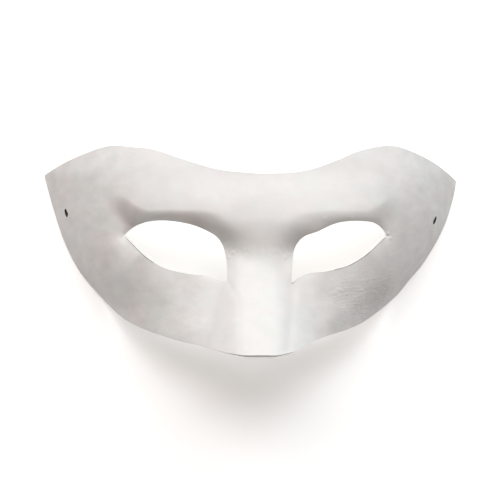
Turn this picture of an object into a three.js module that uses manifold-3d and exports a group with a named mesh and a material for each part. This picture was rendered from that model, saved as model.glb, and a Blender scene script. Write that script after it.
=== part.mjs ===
// A blank half mask, moulded in one from paper pulp and coated white: raised nose, hooded eye
// sockets, two eye openings and a tie hole in each wing. It lies face up on the edges of its wings.
//
// The shape is worked out in the face's own frame: x to the viewer's right, y up to the forehead,
// z out of the face, zero between the eyes. layDown() then turns it onto its wings.
import * as THREE from 'three';
import { mergeVertices } from 'three/addons/utils/BufferGeometryUtils.js';
import Module from 'manifold-3d';

// Driving dimensions, in millimetres and degrees. Heights are from the level of the eyes.
const WALL = 1.8;                       // thickness of the moulded pulp
const LIE_TILT = 15;                    // how far the face leans to its chin side when it lies
const FACE_ZERO = [-0.8, -0.5, 46.3];   // where the face frame's zero lands when the mask lies
const TIP_Y = 32;                       // height of the wing tips
const TIP_DROP = 57;                    // how far the wing tips lie behind the brow
const TOP_Y = 33;                       // height of the top edge on the centre line
const NOSE_BOTTOM = -44.2;              // height of the nose's cut end
const TIE_HOLE_RADIUS = 1.5;
const LAND_RADIUS = 4.5;                // flat place round each tie hole
const LAND_FADE = 4;

// The rounded head section: half depth, and a power that is 2 for an ellipse and more for a flatter
// front. Its width follows the wing edges between two heights, and below them it hardly narrows.
const HEAD = {
  depth: 100, power: 2.9, most: 0.985,
  lowY: -23, lowHold: 0.85, lowSoft: 6, highY: 34, highSoft: 3,
};

// Above this height the forehead curves back with this radius.
const FOREHEAD = { y: 1, soft: 6, radius: 120 };

// Below this height the cheeks swell out beside the nose, by this much each run downwards.
const CHEEK = { y: 2, run: 35, soft: 0.15, swell: 14.5, spread: 10.5 };

// Eye sockets: middle, reach to each side, depth in the lower lid and what the brow adds to it. Beyond
// outerX, over outerRun, the socket reaches higher and deepens lower down.
const SOCKET = {
  x: 40, y: 1, power: 4.5,
  reachX: 28, reachUp: 16.4, outerUp: 10, reachDown: 46,
  outerX: 46.7, outerRun: 18,
  lid: 3.9, brow: 44,
  deepensFrom: 2.4, outerFrom: 15, deepensOver: 28.4, outerOver: 12,
};

// The upper lid rolls back towards the opening: by this depth at its edge, dying out over this reach, and
// starting at this height beside the nose. Its edge is measured along this many steps.
const LID = { depth: 1.6, reach: 1.6, lowY: -7, fade: 8, steps: 96 };

// The hollow between the eyes that the nose stands in: it starts under the brow and eases further down.
const HOLLOW = { depth: 5.3, topY: 13, run: 24.5, easeY: -12, easeRun: 30, ease: 0.8, halfWidth: 30 };
const INNER_CORNER = { depth: 9.5, x: 18.6, y: -0.2, radius: 7.1 };

// Pressed by hand, so the left half's hollows are deeper than the right half's: these shares of each
// depth are added on the left and taken away on the right, changing over this far from the middle.
const LEFT_DEEPER = { socket: 0.4, lid: 0.25, innerCorner: 0.45, hollow: 0.2, over: 6 };

// The nose: crease height, depth there behind the brow and slope of its ridge. Then, side by side, half
// the width of its flat front and how steeply the side starts to fall: the right one is the gentler.
const NOSE = {
  topY: -0.4, root: 4.2, slope: 30, browRun: 15, creaseSoft: 0.8,
  edgeSoft: 3, steepens: 60, blend: 1.6,
};
const NOSE_SIDE = {
  left: { half: 9.1, slope: 1.05 },
  right: { half: 6.4, slope: 0.7 },
};

// Edge of each wing: half width at the tips, how fast it narrows, and its extra narrowing at one run.
const WING_EDGE = {
  left: { tip: 92.8, slope: 0.28, drop: 8.8, run: 50, power: 4 },
  right: { tip: 94.8, slope: 0.156, drop: 19.3, run: 50, power: 2 },
};

// Outline, each stretch a smooth curve through a few points.
const TOP_EDGE = {
  left: [[0, TOP_Y], [-16, 34.6], [-29.6, 38.4], [-44.5, 43.4], [-53.5, 44.7], [-65, 45.3],
    [-81, 39.9], [-93.2, 33.6]],
  right: [[0, TOP_Y], [13.6, 33.4], [24.1, 35.2], [34.7, 39], [45.6, 43.4], [58.4, 45.8],
    [68.2, 44], [81, 38.8], [95, 31]],
};
const LOWER_EDGE = {
  left: [[-62.3, -26.2], [-56.1, -31.1], [-48.1, -34.8], [-35.5, -38.8], [-25.2, -41.1], [-14, -43.5]],
  right: [[61.2, -23.2], [52.3, -28.9], [45, -32.7], [37.6, -35.2], [26.4, -38.2], [14, -43]],
};

// Eye openings, hand cut and not quite alike: upper edge from the inner corner out, lower edge back.
const EYE_UPPER = {
  left: [[-13.7, -14.1], [-13.4, -7.5], [-13.7, -2.9], [-14.7, 1.4], [-16.7, 4.8], [-19.6, 7.1],
    [-26.3, 10.2], [-32, 11.7], [-39.5, 12.7], [-46.1, 12.4], [-51, 11.1], [-54.3, 9.2], [-57.4, 6.4]],
  right: [[14.4, -14.4], [14.8, -7.8], [15.6, -1.2], [17.3, 2.9], [20.4, 6], [26, 8], [30.7, 10.3],
    [35.5, 11.9], [41.6, 12.6], [48.7, 12.3], [52.4, 11.3], [55.5, 8.9], [57.1, 6.2]],
};
const EYE_LOWER = {
  left: [[-57.4, 6.4], [-49, -2.2], [-41.5, -7.2], [-35.7, -9.1], [-29.7, -10.3], [-22.1, -11.1],
    [-13.7, -14.1]],
  right: [[57.1, 6.2], [48.9, -0.9], [43.5, -4.6], [38.5, -7], [29.6, -9.2], [20.6, -10.3],
    [14.4, -14.4]],
};
const TIE_HOLE = { left: [-82.8, 16.4], right: [81.4, 13.2] };

// Mesh fineness: rings from an eye opening out to the mask's edge, and steps along each stretch.
const RINGS = 14;
const HOLE_SIDES = 24;
const RING_CROWDING = 0.2;              // rings lie closer together near the eye
const STEPS = { noseBottom: 4, centre: 22, top: 22, side: 8, lower: 20 };

// How much of the eye's upper edge, counted from the inner corner, lies opposite the nose's bottom, the
// centre line and the top edge, and how much of its lower edge lies opposite the wing.
const EYE_SHARE = { noseBottom: 0.06, centre: 0.33, top: 0.9, lowerSide: 0.12 };

// Heights at which the wing's edge is taken up by its curve: below the tip, midway, and low down.
const WING_STRETCH = { belowTip: 6, middleY: -5, lowY: -17 };

const radians = THREE.MathUtils.degToRad;
const smooth = (t) => {
  const c = THREE.MathUtils.clamp(t, 0, 1);
  return c * c * (3 - 2 * c);
};
// Zero below zero, t above, rounded over the width given.
const ramp = (t, width) => 0.5 * (t + Math.hypot(t, width));
const softMax = (a, b, width) => 0.5 * (a + b + Math.hypot(a - b, width));

// Half width of the mask at height y, from the tip of a wing down to the cheek.
function wingEdgeX(side, y) {
  const edge = WING_EDGE[side];
  const below = TIP_Y - y;
  const narrowing = edge.drop * Math.pow(Math.max(0, below) / edge.run, edge.power);
  return edge.tip - edge.slope * below - narrowing;
}

// Half width of the rounded head section at height y, chosen so that the wing's edge lies in the
// plane that the mask rests on.
function headHalfWidth(side, y) {
  const low = y + HEAD.lowHold * ramp(HEAD.lowY - y, HEAD.lowSoft);
  const level = low - ramp(low - HEAD.highY, HEAD.highSoft);
  const drop = TIP_DROP - (TIP_Y - level) * Math.tan(radians(LIE_TILT)) - foreheadLean(level);
  return wingEdgeX(side, level) / Math.pow(1 - (1 - drop / HEAD.depth) ** 2, 1 / HEAD.power);
}

function foreheadLean(y) {
  return ramp(y - FOREHEAD.y, FOREHEAD.soft) ** 2 / (2 * FOREHEAD.radius);
}

// How deep an eye socket is: deepest inside the opening, under a rounded and nearly level brow.
function socketDepth(out, y) {
  const above = y - SOCKET.y;
  const outer = smooth((out - SOCKET.outerX) / SOCKET.outerRun);
  const reachY = above > 0 ? SOCKET.reachUp + SOCKET.outerUp * outer : SOCKET.reachDown;
  const partX = Math.abs((out - SOCKET.x) / SOCKET.reachX) ** SOCKET.power;
  const partY = Math.abs(above / reachY) ** SOCKET.power;
  const reach = Math.pow(partX + partY, 1 / SOCKET.power);
  const from = SOCKET.deepensFrom + SOCKET.outerFrom * outer;
  const over = SOCKET.deepensOver + SOCKET.outerOver * outer;
  const bowl = SOCKET.lid + SOCKET.brow * smooth((above + from) / over);
  return bowl * Math.max(0, 1 - reach) ** 2;
}

const smoothCurve = (points) => new THREE.SplineCurve(points.map(([x, y]) => new THREE.Vector2(x, y)));

const LID_LINE = {
  left: smoothCurve(EYE_UPPER.left).getPoints(LID.steps),
  right: smoothCurve(EYE_UPPER.right).getPoints(LID.steps),
};

// How far a point is from the upper edge of its eye.
function lidDistance(x, y) {
  const line = LID_LINE[x < 0 ? 'left' : 'right'];
  let least = Infinity;
  for (let i = 1; i < line.length; i++) {
    const [a, b] = [line[i - 1], line[i]];
    const span = [b.x - a.x, b.y - a.y];
    const share = ((x - a.x) * span[0] + (y - a.y) * span[1]) / (span[0] ** 2 + span[1] ** 2);
    const t = THREE.MathUtils.clamp(share, 0, 1);
    least = Math.min(least, Math.hypot(a.x + t * span[0] - x, a.y + t * span[1] - y));
  }
  return least;
}

// How far the skin rolls back towards the upper edge of an eye, fading out towards the nose.
function lidRoll(x, y) {
  const starts = smooth((y - LID.lowY) / LID.fade);
  return starts === 0 ? 0 : LID.depth * starts * Math.exp(-lidDistance(x, y) / LID.reach);
}

// How much deeper than even a hollow is at x, for one of the shares above.
const deeper = (x, share) => 1 - share * Math.tanh(x / LEFT_DEEPER.over);

// The face without its nose: rounded head, forehead leaning back, cheeks, sockets, lids and nose hollow.
function headDepth(x, y) {
  const side = x < 0 ? 'left' : 'right';
  const out = Math.abs(x);
  const across = Math.min(out / headHalfWidth(side, y), HEAD.most);
  let depth = -HEAD.depth * (1 - Math.sqrt(1 - Math.pow(across, HEAD.power)));
  depth -= foreheadLean(y);
  depth += (CHEEK.swell * ramp((CHEEK.y - y) / CHEEK.run, CHEEK.soft)) / Math.cosh(out / CHEEK.spread);
  depth -= socketDepth(out, y) * deeper(x, LEFT_DEEPER.socket);
  depth -= lidRoll(x, y) * deeper(x, LEFT_DEEPER.lid);
  const starts = smooth((HOLLOW.topY - y) / HOLLOW.run);
  const eases = 1 - HOLLOW.ease * smooth((HOLLOW.easeY - y) / HOLLOW.easeRun);
  const middle = HOLLOW.depth * starts * eases * Math.exp(-((out / HOLLOW.halfWidth) ** 4));
  depth -= middle * deeper(x, LEFT_DEEPER.hollow);
  const awayX = (out - INNER_CORNER.x) / INNER_CORNER.radius;
  const awayY = (y - INNER_CORNER.y) / INNER_CORNER.radius;
  const corner = INNER_CORNER.depth * Math.exp(-(awayX ** 2) - awayY ** 2);
  depth -= corner * deeper(x, LEFT_DEEPER.innerCorner);
  return depth;
}

// A broad flat ridge with sloping sides, running from the crease below the brow to its cut end.
function noseDepth(x, y) {
  const down = NOSE.topY - y;
  const ridge = -NOSE.root + ramp(down, NOSE.creaseSoft) * Math.tan(radians(NOSE.slope));
  const brow = -NOSE.root + NOSE.root * smooth(-down / NOSE.browRun) - foreheadLean(y);
  const side = NOSE_SIDE[x < 0 ? 'left' : 'right'];
  const beyond = ramp(Math.abs(x) - side.half, NOSE.edgeSoft) - ramp(-side.half, NOSE.edgeSoft);
  return Math.max(ridge, brow) - side.slope * beyond - beyond ** 2 / NOSE.steepens;
}

function skinDepth(x, y) {
  return softMax(headDepth(x, y), noseDepth(x, y), NOSE.blend);
}

function slopeAt(depth, x, y) {
  const step = 0.05;
  const riseX = depth(x + step, y) - depth(x - step, y);
  const riseY = depth(x, y + step) - depth(x, y - step);
  return [riseX / (2 * step), riseY / (2 * step)];
}

// The outer skin, pressed flat round each tie hole.
function outerDepth(x, y) {
  let depth = skinDepth(x, y);
  for (const [hx, hy] of Object.values(TIE_HOLE)) {
    const [sx, sy] = slopeAt(skinDepth, hx, hy);
    const away = Math.hypot((x - hx) * Math.hypot(1, sx), (y - hy) * Math.hypot(1, sy));
    const flat = skinDepth(hx, hy) + sx * (x - hx) + sy * (y - hy);
    const share = 1 - smooth((away - LAND_RADIUS) / LAND_FADE);
    depth += (flat - depth) * share;
  }
  return depth;
}

function normalAt(x, y) {
  const [sx, sy] = slopeAt(outerDepth, x, y);
  return new THREE.Vector3(-sx, -sy, 1).normalize();
}

// A face point turned and moved to where it is when the mask lies on its wings.
const lie = new THREE.Matrix4()
  .makeRotationX(radians(LIE_TILT))
  .setPosition(...FACE_ZERO);
const layDown = (point) => point.applyMatrix4(lie);

// Points at even steps along a curve, from its start up to just before its end.
const along = (curve, steps) => curve.getSpacedPoints(steps).slice(0, -1);

function wingEdge(side, fromY, toY, count) {
  const sign = side === 'left' ? -1 : 1;
  return Array.from({ length: count }, (_, i) => {
    const y = fromY + ((toY - fromY) * i) / (count - 1);
    return [sign * wingEdgeX(side, y), y];
  });
}

// One half's outer loop: nose bottom, up the centre line, top edge, wing, and back along the cheek.
function outerLoop(side) {
  const lower = LOWER_EDGE[side];
  const tip = TOP_EDGE[side].at(-1);
  const noseCorner = lower.at(-1);
  const bottom = new THREE.Vector2(0, NOSE_BOTTOM);
  const wing = wingEdge(side, tip[1] - WING_STRETCH.belowTip, WING_STRETCH.middleY, 4);
  const cheek = wingEdge(side, WING_STRETCH.middleY, WING_STRETCH.lowY, 3);
  return [
    ...along(smoothCurve([noseCorner, [noseCorner[0] / 2, bottom.y], bottom.toArray()]), STEPS.noseBottom),
    ...along(new THREE.LineCurve(bottom, new THREE.Vector2(0, TOP_Y)), STEPS.centre),
    ...along(smoothCurve(TOP_EDGE[side]), STEPS.top),
    ...along(smoothCurve([tip, ...wing]), STEPS.side),
    ...along(smoothCurve([...cheek, ...lower]), STEPS.lower),
  ];
}

// The eye's loop, step for step opposite the outer loop, with both corners kept sharp.
function innerLoop(side) {
  const half = STEPS.side / 2;
  const upper = smoothCurve(EYE_UPPER[side]);
  const lower = smoothCurve(EYE_LOWER[side]);
  const stretch = (curve, from, to, steps) => Array.from({ length: steps },
    (_, i) => curve.getPointAt(from + ((to - from) * i) / steps));
  return [
    ...stretch(upper, 0, EYE_SHARE.noseBottom, STEPS.noseBottom),
    ...stretch(upper, EYE_SHARE.noseBottom, EYE_SHARE.centre, STEPS.centre),
    ...stretch(upper, EYE_SHARE.centre, EYE_SHARE.top, STEPS.top),
    ...stretch(upper, EYE_SHARE.top, 1, half),
    ...stretch(lower, 0, EYE_SHARE.lowerSide, half),
    ...stretch(lower, EYE_SHARE.lowerSide, 1, STEPS.lower),
  ];
}

// One half of the shell: outer and inner skin over rings between the two loops, and the cut walls.
function halfShell(side) {
  const inner = innerLoop(side);
  const outer = outerLoop(side);
  const count = inner.length;
  const positions = [];
  const index = [];
  for (const back of [0, WALL]) {
    for (let ring = 0; ring <= RINGS; ring++) {
      const t = ring / RINGS;
      const share = t * (1 - RING_CROWDING * (1 - t));
      for (let i = 0; i < count; i++) {
        const { x, y } = inner[i].clone().lerp(outer[i], share);
        const point = new THREE.Vector3(x, y, outerDepth(x, y)).addScaledVector(normalAt(x, y), -back);
        positions.push(...layDown(point).toArray());
      }
    }
  }
  const at = (back, ring, i) => (back * (RINGS + 1) + ring) * count + (i % count);
  const quad = (a, b, c, d) => {
    index.push(...(side === 'left' ? [a, c, b, a, d, c] : [a, b, c, a, c, d]));
  };
  const seamStart = STEPS.noseBottom;
  const seamEnd = seamStart + STEPS.centre;
  for (let i = 0; i < count; i++) {
    for (let ring = 0; ring < RINGS; ring++) {
      quad(at(0, ring, i), at(0, ring, i + 1), at(0, ring + 1, i + 1), at(0, ring + 1, i));
      quad(at(1, ring, i), at(1, ring + 1, i), at(1, ring + 1, i + 1), at(1, ring, i + 1));
    }
    quad(at(0, 0, i), at(1, 0, i), at(1, 0, i + 1), at(0, 0, i + 1));
    if (i < seamStart || i >= seamEnd) {
      quad(at(0, RINGS, i), at(0, RINGS, i + 1), at(1, RINGS, i + 1), at(1, RINGS, i));
    }
  }
  return { positions, index };
}

// Both halves in one geometry, joined where their points meet on the centre line.
function shellGeometry() {
  const halves = ['left', 'right'].map(halfShell);
  const positions = halves.flatMap((half) => half.positions);
  const offset = halves[0].positions.length / 3;
  const index = [...halves[0].index, ...halves[1].index.map((i) => i + offset)];
  const geometry = new THREE.BufferGeometry();
  geometry.setAttribute('position', new THREE.Float32BufferAttribute(positions, 3));
  geometry.setIndex(index);
  return geometry;
}

// A cutter along the skin's own direction at a tie hole.
function tieHoleCutter(side) {
  const [x, y] = TIE_HOLE[side];
  const length = 6 * WALL;
  const cutter = new THREE.CylinderGeometry(TIE_HOLE_RADIUS, TIE_HOLE_RADIUS, length, HOLE_SIDES);
  const normal = normalAt(x, y);
  const centre = new THREE.Vector3(x, y, outerDepth(x, y)).addScaledVector(normal, -WALL / 2);
  const turn = new THREE.Quaternion().setFromUnitVectors(new THREE.Vector3(0, 1, 0), normal);
  cutter.applyMatrix4(new THREE.Matrix4().compose(centre, turn, new THREE.Vector3(1, 1, 1)));
  return cutter.applyMatrix4(lie);
}

// Everything below the surface that the mask lies on.
function floorCutter() {
  const size = 400;
  return new THREE.BoxGeometry(size, size, size).translate(0, 0, -size / 2);
}

const wasm = await Module();
wasm.setup();

function toSolid(geometry) {
  const bare = geometry.clone();
  bare.deleteAttribute('normal');
  bare.deleteAttribute('uv');
  const merged = mergeVertices(bare, 1e-4);
  return new wasm.Manifold(new wasm.Mesh({
    numProp: 3,
    vertProperties: new Float32Array(merged.attributes.position.array),
    triVerts: new Uint32Array(merged.index.array),
  }));
}

function toGeometry(solid) {
  const { vertProperties, triVerts } = solid.getMesh();
  const geometry = new THREE.BufferGeometry();
  geometry.setAttribute('position', new THREE.Float32BufferAttribute(vertProperties, 3));
  geometry.setIndex(Array.from(triVerts));
  geometry.computeVertexNormals();
  return geometry;
}

function maskGeometry() {
  let solid = toSolid(shellGeometry());
  for (const side of ['left', 'right']) {
    solid = solid.subtract(toSolid(tieHoleCutter(side)));
  }
  return toGeometry(solid.subtract(toSolid(floorCutter())));
}

const whitePulp = new THREE.MeshStandardMaterial({ color: 0xefedea, roughness: 0.85, metalness: 0 });
const mask = new THREE.Mesh(maskGeometry(), whitePulp);
mask.name = 'mask';

const part = new THREE.Group();
part.add(mask);

export default part;
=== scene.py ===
# %% [markdown]
# # A blank half mask of moulded paper pulp
# The real mask is one piece: wet pulp pressed over a form, dried, coated white and trimmed by hand.
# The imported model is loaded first, because it says where the mask lies and how large it is. Every
# shape below is made in the same frame, so nothing has to be fitted afterwards.

# %% Load the frame
import math

import bmesh
import bpy
from mathutils import Matrix, Vector, noise
from mathutils.geometry import interpolate_bezier, intersect_point_line
from mathutils.kdtree import KDTree


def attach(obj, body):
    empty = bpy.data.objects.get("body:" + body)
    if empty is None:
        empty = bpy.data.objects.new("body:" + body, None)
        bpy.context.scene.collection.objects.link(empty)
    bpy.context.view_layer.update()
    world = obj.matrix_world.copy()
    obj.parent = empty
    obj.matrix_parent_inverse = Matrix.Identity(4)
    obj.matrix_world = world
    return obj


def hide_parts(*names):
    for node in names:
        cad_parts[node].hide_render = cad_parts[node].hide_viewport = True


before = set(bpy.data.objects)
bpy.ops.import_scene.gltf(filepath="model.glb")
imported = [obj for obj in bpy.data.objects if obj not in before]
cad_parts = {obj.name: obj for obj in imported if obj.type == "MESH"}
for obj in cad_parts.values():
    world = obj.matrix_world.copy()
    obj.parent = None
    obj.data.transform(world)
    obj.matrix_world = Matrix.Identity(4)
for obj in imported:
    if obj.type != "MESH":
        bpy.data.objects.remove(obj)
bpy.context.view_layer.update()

# %% [markdown]
# ## The camera
# A mask like this is photographed from straight in front of its face. The mask lies on the edges of
# its wings with the face leaning 15 degrees to the chin side, so "in front" is nearly overhead. A long
# lens from a metre away keeps the nose from looking large. The camera's axes are set from the face's
# own up direction, because aiming it with a track constraint would roll the picture.

# %% The face's own frame
# All lengths are in millimetres, in the face's frame, until the mask is laid down. FACE_ZERO is where
# that frame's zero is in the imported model's frame: between the eyes, where the head is foremost.
MM = 0.001
LIE_TILT = math.radians(15)
FACE_ZERO = Vector((-0.8, -0.5, 46.3))

lie = Matrix.Translation(FACE_ZERO) @ Matrix.Rotation(LIE_TILT, 4, "X")
print("the face leans by", round(math.degrees(LIE_TILT), 1), "degrees about", tuple(FACE_ZERO))

# %% The camera
PICTURE_PIXELS = 500
PIXELS_PER_MM = 2.33
FACE_ZERO_PIXEL = 258.7
CAMERA_AWAY = 1000.0
CAMERA_TURN = math.radians(4)
SENSOR_WIDTH = 36
NEAREST_SEEN = 0.05
FARTHEST_SEEN = 20


def add_camera():
    """Puts the camera square to the face, a few degrees to the viewer's left."""
    data = bpy.data.cameras.new("camera")
    data.sensor_width = SENSOR_WIDTH
    data.lens = data.sensor_width * PIXELS_PER_MM * CAMERA_AWAY / PICTURE_PIXELS
    data.shift_x = (PICTURE_PIXELS / 2 - FACE_ZERO_PIXEL) / PICTURE_PIXELS
    data.clip_start = NEAREST_SEEN
    data.clip_end = FARTHEST_SEEN
    camera = bpy.data.objects.new("camera", data)
    face_axes = lie.to_3x3()
    back = face_axes @ Vector((-math.sin(CAMERA_TURN), 0, math.cos(CAMERA_TURN)))
    up = face_axes @ Vector((0, 1, 0))
    right = up.cross(back).normalized()
    up = back.cross(right)
    camera.matrix_world = Matrix.Translation((FACE_ZERO + back * CAMERA_AWAY) * MM) @ Matrix(
        (right, up, back)).transposed().to_4x4()
    bpy.context.scene.collection.objects.link(camera)
    bpy.context.scene.camera = camera
    return camera


camera = add_camera()
print("camera lens, mm:", round(camera.data.lens, 1))
print("camera place, m:", tuple(camera.matrix_world.translation))

# %% [markdown]
# ## Outline of the mask and of its eye openings
# The mask is cut out with a knife, so no two edges are quite alike: the right wing is fuller, and the
# left eye opens a little wider at its inner corner. Each stretch of edge is a smooth curve through a
# few points, in the face's frame: x to the viewer's right, y up to the forehead, in millimetres. A
# Bezier through given points needs handles. Setting each handle a sixth of the way between its
# neighbours gives the same even curve that a bent spline would.

# %% Smooth lines through a few points
POINTS_PER_SPAN = 24


def smooth_line(points):
    """A fine polyline that passes smoothly through the points given."""
    knots = [Vector((x, y, 0)) for x, y in points]
    last = len(knots) - 1
    line = []
    for i in range(last):
        lead = knots[i] + (knots[i + 1] - knots[max(i - 1, 0)]) / 6
        trail = knots[i + 1] - (knots[min(i + 2, last)] - knots[i]) / 6
        line += interpolate_bezier(knots[i], lead, trail, knots[i + 1], POINTS_PER_SPAN)[:-1]
    return line + [knots[last]]


def spaced(line, count, start=0.0, end=1.0):
    """Count points evenly spaced along a line, from one share of its length up to another."""
    lengths = [0.0]
    for a, b in zip(line, line[1:]):
        lengths.append(lengths[-1] + (b - a).length)
    places = []
    span = 0
    for i in range(count):
        wanted = lengths[-1] * (start + (end - start) * i / count)
        while lengths[span + 1] < wanted:
            span += 1
        part = (wanted - lengths[span]) / (lengths[span + 1] - lengths[span])
        places.append(line[span].lerp(line[span + 1], part))
    return places


print("a smooth line through three points has", len(smooth_line([(0, 0), (5, 5), (10, 0)])), "points")

# %% Where the edges run
# A wing's edge leans in by its slope below the tip, and draws in faster by its drop over its run.
TIP_Y = 32
TOP_Y = 33
NOSE_BOTTOM = -44.2

WING_EDGE = {
    "left": {"tip": 92.8, "slope": 0.28, "drop": 8.8, "run": 50, "power": 4},
    "right": {"tip": 94.8, "slope": 0.156, "drop": 19.3, "run": 50, "power": 2},
}
TOP_EDGE = {
    "left": [(0, TOP_Y), (-16, 34.6), (-29.6, 38.4), (-44.5, 43.4), (-53.5, 44.7), (-65, 45.3),
             (-81, 39.9), (-93.2, 33.6)],
    "right": [(0, TOP_Y), (13.6, 33.4), (24.1, 35.2), (34.7, 39), (45.6, 43.4), (58.4, 45.8),
              (68.2, 44), (81, 38.8), (95, 31)],
}
LOWER_EDGE = {
    "left": [(-62.3, -26.2), (-56.1, -31.1), (-48.1, -34.8), (-35.5, -38.8), (-25.2, -41.1),
             (-14, -43.5)],
    "right": [(61.2, -23.2), (52.3, -28.9), (45, -32.7), (37.6, -35.2), (26.4, -38.2), (14, -43)],
}
EYE_UPPER = {
    "left": [(-13.7, -14.1), (-13.4, -7.5), (-13.7, -2.9), (-14.7, 1.4), (-16.7, 4.8), (-19.6, 7.1),
             (-26.3, 10.2), (-32, 11.7), (-39.5, 12.7), (-46.1, 12.4), (-51, 11.1), (-54.3, 9.2),
             (-57.4, 6.4)],
    "right": [(14.4, -14.4), (14.8, -7.8), (15.6, -1.2), (17.3, 2.9), (20.4, 6), (26, 8), (30.7, 10.3),
              (35.5, 11.9), (41.6, 12.6), (48.7, 12.3), (52.4, 11.3), (55.5, 8.9), (57.1, 6.2)],
}
EYE_LOWER = {
    "left": [(-57.4, 6.4), (-49, -2.2), (-41.5, -7.2), (-35.7, -9.1), (-29.7, -10.3), (-22.1, -11.1),
             (-13.7, -14.1)],
    "right": [(57.1, 6.2), (48.9, -0.9), (43.5, -4.6), (38.5, -7), (29.6, -9.2), (20.6, -10.3),
              (14.4, -14.4)],
}
TIE_HOLE = {"left": (-82.8, 16.4), "right": (81.4, 13.2)}
SIGN = {"left": -1, "right": 1}
eye_widths = {side: abs(line[0][0] - line[-1][0]) for side, line in EYE_UPPER.items()}
print("width of each eye opening, mm:", eye_widths)


# %% Edge of a wing
def wing_edge_x(side, y):
    """Half width of the mask at a height, from the tip of a wing down to the cheek."""
    edge = WING_EDGE[side]
    below = TIP_Y - y
    drawn_in = edge["drop"] * (max(0, below) / edge["run"]) ** edge["power"]
    return edge["tip"] - edge["slope"] * below - drawn_in


print("width across the wing tips, mm:", sum(wing_edge_x(side, TIP_Y) for side in SIGN))

# %% [markdown]
# ## Two loops with the same number of points
# One half of the mask is a ring of paper round an eye. If the eye's edge and the half's outer edge have
# the same number of points, and each point has a partner, the ring between them can be grown in even
# bands. So both loops are sampled stretch by stretch: nose bottom, centre line, top edge, wing, cheek.
# Partners that lie well apart matter most at the eye's inner corner: a sliver of a quad there would
# turn into a spike once the skin gets its thickness.

# %% The outer loop of each half
STEPS = {"nose_bottom": 16, "centre": 96, "top": 96, "wing": 40, "lower": 80}
WING_PLACES = {"below_tip": 6, "middle_y": -5, "low_y": -17, "upper_knots": 4, "lower_knots": 3}


def wing_points(side, from_y, to_y, count):
    """Points on the wing's edge at even heights."""
    heights = [from_y + (to_y - from_y) * i / (count - 1) for i in range(count)]
    return [(SIGN[side] * wing_edge_x(side, y), y) for y in heights]


def mask_edge(side):
    """The outer loop of one half: nose bottom, up the centre line, top edge, wing, cheek."""
    tip = TOP_EDGE[side][-1]
    corner = LOWER_EDGE[side][-1]
    wing = wing_points(side, tip[1] - WING_PLACES["below_tip"], WING_PLACES["middle_y"],
                       WING_PLACES["upper_knots"])
    cheek = wing_points(side, WING_PLACES["middle_y"], WING_PLACES["low_y"],
                        WING_PLACES["lower_knots"])
    nose_bottom = smooth_line([corner, (corner[0] / 2, NOSE_BOTTOM), (0, NOSE_BOTTOM)])
    centre = [Vector((0, NOSE_BOTTOM, 0)), Vector((0, TOP_Y, 0))]
    return (
        spaced(nose_bottom, STEPS["nose_bottom"])
        + spaced(centre, STEPS["centre"])
        + spaced(smooth_line(TOP_EDGE[side]), STEPS["top"])
        + spaced(smooth_line([tip, *wing]), STEPS["wing"])
        + spaced(smooth_line(cheek + LOWER_EDGE[side]), STEPS["lower"])
    )


print("points round each half:", len(mask_edge("left")))

# %% The inner loop of each half
# The shares of the eye's upper and lower edge at which its stretches end.
EYE_SHARE = {"centre": 0.33, "top": 0.9, "lower_side": 0.12, "nose_bottom": 0.95}


def eye_edge(side):
    """The inner loop of one half, step for step opposite its outer loop."""
    upper = smooth_line(EYE_UPPER[side])
    lower = smooth_line(EYE_LOWER[side])
    half_wing = STEPS["wing"] // 2
    return (
        spaced(lower, STEPS["nose_bottom"], EYE_SHARE["nose_bottom"], 1)
        + spaced(upper, STEPS["centre"], 0, EYE_SHARE["centre"])
        + spaced(upper, STEPS["top"], EYE_SHARE["centre"], EYE_SHARE["top"])
        + spaced(upper, half_wing, EYE_SHARE["top"], 1)
        + spaced(lower, half_wing, 0, EYE_SHARE["lower_side"])
        + spaced(lower, STEPS["lower"], EYE_SHARE["lower_side"], EYE_SHARE["nose_bottom"])
    )


print("points round each eye:", len(eye_edge("left")))

# %% [markdown]
# ## How far each point stands out
# The face is a height over its own plane, so one function of x and y says it all. It is built as the
# form was: a rounded head, a forehead that leans back, cheeks that swell beside the nose, two sockets
# that are deepest under the brow, and a broad flat nose. smooth() fades a feature in, ramp() turns a
# corner softly, and soft_max() joins two surfaces with a small fillet. Sculpting would look as soft,
# but its strokes couldn't be read or changed as these numbers can.

# %% Soft steps
def smooth(t):
    """Goes from 0 to 1 as t does, level at both ends."""
    t = min(max(t, 0), 1)
    return t * t * (3 - 2 * t)


def ramp(t, width):
    """Zero below zero, t above, rounded over the width given."""
    return 0.5 * (t + math.hypot(t, width))


def soft_max(a, b, width):
    """The larger of two heights, with a fillet where they cross."""
    return 0.5 * (a + b + math.hypot(a - b, width))


print("a soft step at a quarter, a half and all of the way:", smooth(0.25), smooth(0.5), smooth(1))

# %% The rounded head
# Each level of the head is part of an oval as deep as HEAD's depth. Below low_y and above high_y its
# half width is held, because the wing's edge, which sets it, ends there.
HEAD = {"depth": 100, "power": 2.9, "most": 0.985,
        "low_y": -23, "low_hold": 0.85, "low_soft": 6, "high_y": 34, "high_soft": 3}
TIP_DROP = 57
FOREHEAD = {"y": 1, "soft": 6, "radius": 120}
CHEEK = {"y": 2, "run": 35, "soft": 0.15, "swell": 14.5, "spread": 10.5}


def forehead_lean(y):
    """How far the forehead has curved back at a height."""
    return ramp(y - FOREHEAD["y"], FOREHEAD["soft"]) ** 2 / (2 * FOREHEAD["radius"])


def head_half_width(side, y):
    """Half width of the head at a height, so that the wing's edge lies in the resting plane."""
    low = y + HEAD["low_hold"] * ramp(HEAD["low_y"] - y, HEAD["low_soft"])
    level = low - ramp(low - HEAD["high_y"], HEAD["high_soft"])
    drop = TIP_DROP - (TIP_Y - level) * math.tan(LIE_TILT) - forehead_lean(level)
    return wing_edge_x(side, level) / (1 - (1 - drop / HEAD["depth"]) ** 2) ** (1 / HEAD["power"])


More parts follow.
